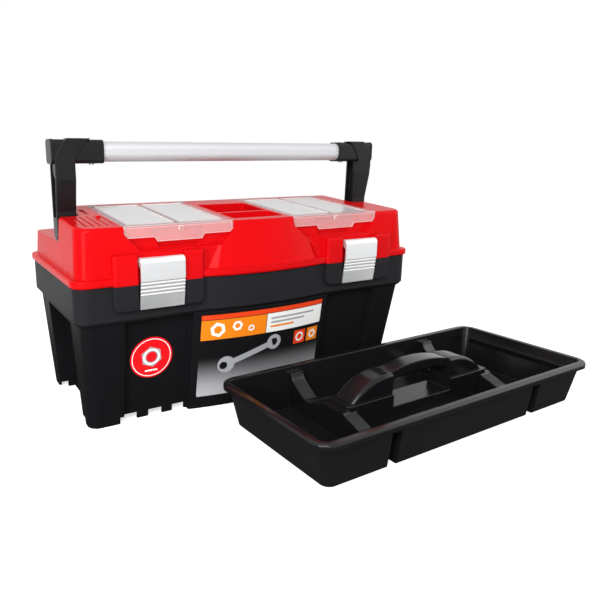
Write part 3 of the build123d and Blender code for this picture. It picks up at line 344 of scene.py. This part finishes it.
def frosted_plastic(name, pane_colour, frame_colour, pane_cover, frame_cover, gloss):
    """Translucent polypropylene, denser and duller within the panes than in the frame round them."""
    edge_round_and_highlight_mm = 1.2
    painted_highlight_cover = 0.9
    frost_mm = 1.6
    frost_relief_mm = 0.02
    gloss_swing = 0.06
    made, tree, output, place = new_material(name)
    axes = node(tree, "ShaderNodeSeparateXYZ", links={"Vector": place})
    across = node(tree, "ShaderNodeMath", {"operation": "ABSOLUTE"}, {0: axes.outputs["X"]})
    near, far = [node(tree, "ShaderNodeMath", {"operation": "COMPARE", 1: middle, 2: pane_half_x},
                      {0: across.outputs["Value"]}) for middle in pane_middles_x]
    deep = node(tree, "ShaderNodeMath", {"operation": "COMPARE", 1: pane_middle_y, 2: pane_half_y},
                {0: axes.outputs["Y"]})
    either = node(tree, "ShaderNodeMath", {"operation": "MAXIMUM"},
                  {0: near.outputs["Value"], 1: far.outputs["Value"]})
    pane = node(tree, "ShaderNodeMath", {"operation": "MULTIPLY"},
                {0: either.outputs["Value"], 1: deep.outputs["Value"]}).outputs["Value"]
    edge = node(tree, "ShaderNodeBevel", {"samples": 8, "Radius": edge_round_and_highlight_mm * MM})
    flat = node(tree, "ShaderNodeNewGeometry").outputs["True Normal"]
    bend = node(tree, "ShaderNodeVectorMath", {"operation": "DOT_PRODUCT"},
                {0: edge.outputs["Normal"], 1: flat})
    # Painted highlight: near the edges the colour is painted towards white and the cover made denser.
    painted_edge_highlight = node(tree, "ShaderNodeMapRange", {"From Min": 0.985, "From Max": 0.85},
               {"Value": bend.outputs["Value"]})
    body = node(tree, "ShaderNodeMix",
                {"data_type": "RGBA", 6: linear(frame_colour), 7: linear(pane_colour)}, {0: pane})
    tone = node(tree, "ShaderNodeMix", {"data_type": "RGBA", 7: linear("#FFFFFF")},
                {0: painted_edge_highlight.outputs["Result"], 6: body.outputs[2]})
    fill = node(tree, "ShaderNodeMapRange", {"To Min": frame_cover, "To Max": pane_cover}, {"Value": pane})
    cover = node(tree, "ShaderNodeMapRange", {"To Max": painted_highlight_cover},
                 {"Value": painted_edge_highlight.outputs["Result"], "To Min": fill.outputs["Result"]})
    frost = node(tree, "ShaderNodeTexNoise", {"Scale": 1 / (frost_mm * MM), "Detail": 2.0}, {"Vector": place})
    sheen = node(tree, "ShaderNodeMapRange", {"To Min": gloss - gloss_swing, "To Max": gloss + gloss_swing},
                 {"Value": frost.outputs["Fac"]})
    relief = node(tree, "ShaderNodeBump", {"Distance": frost_relief_mm * MM, "Strength": 0.7},
                  {"Height": frost.outputs["Fac"], "Normal": edge.outputs["Normal"]})
    sheet = node(tree, "ShaderNodeBsdfPrincipled", {"IOR": polypropylene_ior},
                 {"Base Color": tone.outputs[2], "Alpha": cover.outputs["Result"],
                  "Roughness": sheen.outputs["Result"], "Normal": relief.outputs["Normal"]})
    tree.links.new(sheet.outputs["BSDF"], output.inputs["Surface"])
    return made


cover_plastic = frosted_plastic("frosted_polypropylene", pane_colour="#E2E2E2", frame_colour="#F0D0D0",
                                pane_cover=0.78, frame_cover=0.26, gloss=0.24)
dress(cover_plastic, "organizer_cover_left", "organizer_cover_right")


# Carrying bar and latches: extruded aluminium, satin anodised in its natural silver.
# The die leaves faint lines along the bar, and the milky oxide spreads every reflection into a soft white.
# The short latches have a thinner oxide over a whiter etch, so they show more of the bare metal.

bar_aluminium = drawn_metal("satin_anodised_aluminium", deep="#C0C1C3", pale="#C9CACC", gloss=0.6,
                            line_mm=1.4, run_mm=90, relief_mm=0.006, anisotropy=0.2, edge_mm=0.6, bare=0.5)
latch_aluminium = drawn_metal("white_etched_aluminium", deep="#DEDFE0", pale="#E8E9EA", gloss=0.58,
                              line_mm=1.4, run_mm=90, relief_mm=0.006, anisotropy=0.2, edge_mm=0.6)
dress(bar_aluminium, "handle_bar")
dress(latch_aluminium, "latch_left", "latch_right")


# Handle arms and end caps: black glass-filled polypropylene, moulded with a finer grain than the base.
# The arms carry the bar in deep sockets, and their straps catch a soft light along the edges.

arm_plastic = moulded_plastic("black_arm_polypropylene", deep="#111113", pale="#18181A",
                              gloss=0.36, shine=0.2, grain_mm=1.3, relief_mm=0.03, edge_mm=1.2)
dress(arm_plastic, "handle_arm_left", "handle_arm_right", "handle_end_cap_left", "handle_end_cap_right")


# Loose tray: black polypropylene from a polished mould, glossier than the box.
# Its rolled rim, dividers and hollow handle show soft grey highlights.

tray_plastic = moulded_plastic("black_gloss_polypropylene", deep="#0F0F11", pale="#19191B",
                               gloss=0.2, shine=0.3, grain_mm=2.2, relief_mm=0.01, edge_mm=2.4)
dress(tray_plastic, "tray_shell", "tray_handle")


# Stage: a wide pale floor under a white surround, with a large soft lamp high on the left, a weaker one on
# the right and a narrow strip on the left. The surround is plain white to the eye and to reflections, and
# dimmer as a light on the object. Reflections see the floor painted darker close to the object than far from
# it, a painted shade round the object.

floor_size = 12
floor_pale = "#E6E6E6"
floor_painted_shade = "#5A5A5A"
object_middle = (0.07, -0.12, 0.0)
close_reach = 0.55
far_reach = 0.9
far_glow = 0.6
camera_glow = 0.68

bpy.ops.object.select_all(action="DESELECT")
bpy.ops.mesh.primitive_plane_add(size=floor_size)
floor = bpy.context.object
floor.name = "floor"
floor_paint, tree, output, place = new_material("pale_floor")
rays = node(tree, "ShaderNodeLightPath")
reach = node(tree, "ShaderNodeVectorMath", {"operation": "DISTANCE", 1: object_middle}, {0: place})
clear = node(tree, "ShaderNodeMapRange", {"From Min": close_reach, "From Max": far_reach},
             {"Value": reach.outputs["Value"]})
mirrored = node(tree, "ShaderNodeMath", {"operation": "MULTIPLY"},
                {0: rays.outputs["Is Glossy Ray"], 1: clear.outputs["Result"]})
# Painted shade: reflections see the floor painted darker close to the object, paler farther out.
painted_shade_share = node(tree, "ShaderNodeMath", {"operation": "SUBTRACT"},
             {0: rays.outputs["Is Glossy Ray"], 1: mirrored.outputs["Value"]})
shade = node(tree, "ShaderNodeMix", {"data_type": "RGBA", 6: linear(floor_pale), 7: linear(floor_painted_shade)},
             {0: painted_shade_share.outputs["Value"]})
far_lift = node(tree, "ShaderNodeMath", {"operation": "MULTIPLY", 1: far_glow},
                {0: mirrored.outputs["Value"]})
lift = node(tree, "ShaderNodeMath", {"operation": "MULTIPLY_ADD", 1: camera_glow},
            {0: rays.outputs["Is Camera Ray"], 2: far_lift.outputs["Value"]})
paint = node(tree, "ShaderNodeBsdfDiffuse", links={"Color": shade.outputs[2]})
glow = node(tree, "ShaderNodeEmission", links={"Strength": lift.outputs["Value"]})
both = node(tree, "ShaderNodeAddShader", links={0: paint.outputs["BSDF"], 1: glow.outputs["Emission"]})
tree.links.new(both.outputs["Shader"], output.inputs["Surface"])
floor.data.materials.append(floor_paint)

surround_light = 0.42
surround_seen = 1.0
world = bpy.data.worlds.new("white_surround")
bpy.context.scene.world = world
world.use_nodes = True
tree = world.node_tree
tree.nodes.clear()
rays = node(tree, "ShaderNodeLightPath")
direct = node(tree, "ShaderNodeMath", {"operation": "MAXIMUM"},
              {0: rays.outputs["Is Camera Ray"], 1: rays.outputs["Is Glossy Ray"]})
seen = node(tree, "ShaderNodeMath", {"operation": "MAXIMUM"},
            {0: direct.outputs["Value"], 1: rays.outputs["Is Transmission Ray"]})
level = node(tree, "ShaderNodeMapRange", {"To Min": surround_light, "To Max": surround_seen},
             {"Value": seen.outputs["Value"]})
surround = node(tree, "ShaderNodeBackground", {"Color": linear("#FFFFFF")},
                {"Strength": level.outputs["Result"]})
node(tree, "ShaderNodeOutputWorld", links={"Surface": surround.outputs["Background"]})


def soft_lamp(name, width, height, power, spot, aim):
    """Area lamp of a width and height, at a spot and pointed at an aim."""
    bpy.ops.object.light_add(type="AREA", location=spot)
    lamp = bpy.context.object
    lamp.name = name
    lamp.data.shape = "RECTANGLE"
    lamp.data.size = width
    lamp.data.size_y = height
    lamp.data.energy = power
    lamp.rotation_euler = (Vector(aim) - Vector(spot)).to_track_quat("-Z", "Y").to_euler()


soft_lamp("key_lamp", width=0.8, height=0.8, power=25, spot=(-0.8, -1.35, 1.35), aim=(0, -0.05, 0.15))
soft_lamp("side_lamp", width=1.0, height=1.0, power=7, spot=(1.6, -0.9, 0.9), aim=(0.1, -0.1, 0.1))
soft_lamp("strip_lamp", width=0.14, height=1.1, power=12, spot=(-1.35, -1.0, 0.6), aim=(-0.2, -0.1, 0.2))


# Camera: where the photograph was taken from, fitted to the box's own edges.
# The photograph is a square crop that lies off the lens axis, so the frame is shifted.

photo_side = 615
focal_pixels = 579.2
axis_pixel = (227.5, 288.0)
sensor_mm = 36
camera_mm = Vector((-435.2, -809.1, 359.9))
camera_yaw = -28.7
camera_pitch = -13.1
bpy.ops.object.camera_add(location=camera_mm * MM,
                          rotation=(radians(90 + camera_pitch), 0, radians(camera_yaw)))
camera = bpy.context.object
camera.data.sensor_width = sensor_mm
camera.data.lens = focal_pixels / photo_side * sensor_mm
camera.data.shift_x = (photo_side / 2 - axis_pixel[0]) / photo_side
camera.data.shift_y = -(photo_side / 2 - axis_pixel[1]) / photo_side
camera.data.clip_start = 10 * MM
bpy.context.scene.camera = camera
bpy.context.scene.view_settings.view_transform = "Standard"
